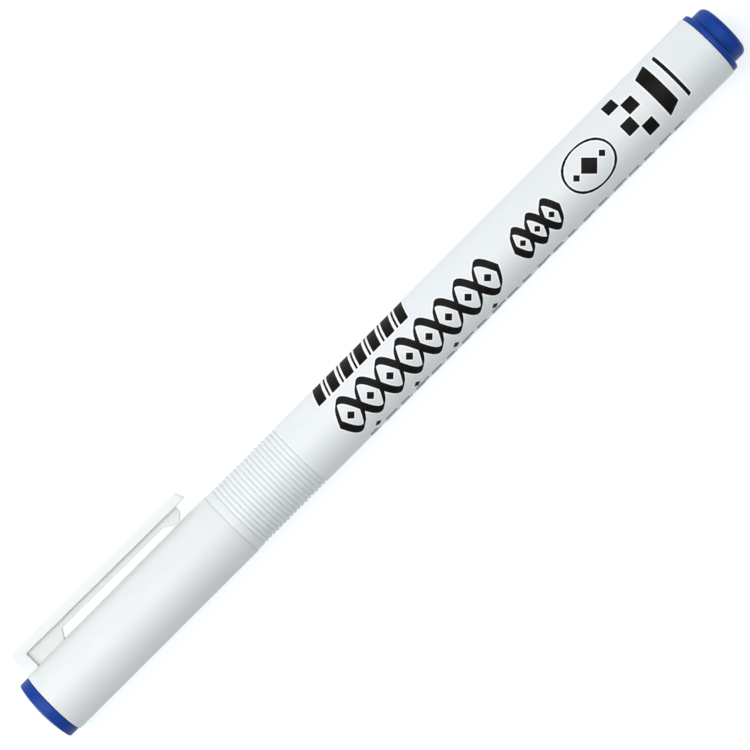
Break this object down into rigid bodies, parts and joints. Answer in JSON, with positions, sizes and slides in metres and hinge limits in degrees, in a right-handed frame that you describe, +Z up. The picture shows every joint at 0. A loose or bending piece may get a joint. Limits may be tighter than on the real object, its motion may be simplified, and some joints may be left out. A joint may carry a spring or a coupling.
{
  "type": "calligraphy marker",
  "caption": "Slim felt-tip calligraphy marker, capped and lying on its side, with a moulded pocket clip, a fine-ribbed grip and blue end plugs.",
  "frame": {"origin": "on the table under the middle of the object's box, which the pen's length and the clip's reach set", "axes": "+X along the pen from the cap's closed end to the tail, +Y to the clip's side, +Z up from the table the pen lies on"},
  "size_m": [0.138, 0.0148, 0.011],
  "materials": {
    "white_barrel": "satin moulded white with a faint blue cast, black printed marks",
    "white_cap": "satin moulded white",
    "blue_plug": "satin moulded ultramarine blue",
    "holder_white": "satin moulded white",
    "felt_nib": "dense felt soaked with blue ink",
    "ink_fibre": "lengthwise polyester fibre soaked with blue ink",
    "clear_film": "thin translucent film",
    "liner_natural": "milky natural polyethylene"
  },
  "bodies": {
    "pen_body": {"barrel": "white_barrel", "tail_plug": "blue_plug", "nib_holder": "holder_white", "nib": "felt_nib", "ink_reservoir": "ink_fibre", "reservoir_film": "clear_film", "breather_tube": "clear_film"},
    "cap_liner": {"inner_cap": "liner_natural"},
    "cap": {"cap_shell": "white_cap", "cap_plug": "blue_plug"},
    "clip": {"cap_clip": "white_cap"}
  },
  "joints": [
    {"name": "cap_pull", "type": "slide", "parent": "pen_body", "child": "cap_liner", "axis": [-1, 0, 0], "range_m": [0, 0.04]},
    {"name": "cap_turn", "type": "hinge", "parent": "cap_liner", "child": "cap", "pos_m": [-0.04858, -0.00185, 0.0055], "axis": [1, 0, 0], "continuous": true},
    {"name": "clip_flex", "type": "hinge", "parent": "cap", "child": "clip", "pos_m": [-0.05908, 0.00659, 0.0055], "axis": [0, 0, 1], "range_deg": [0, 6], "stiffness_Nm_per_rad": 0.5}
  ]
}
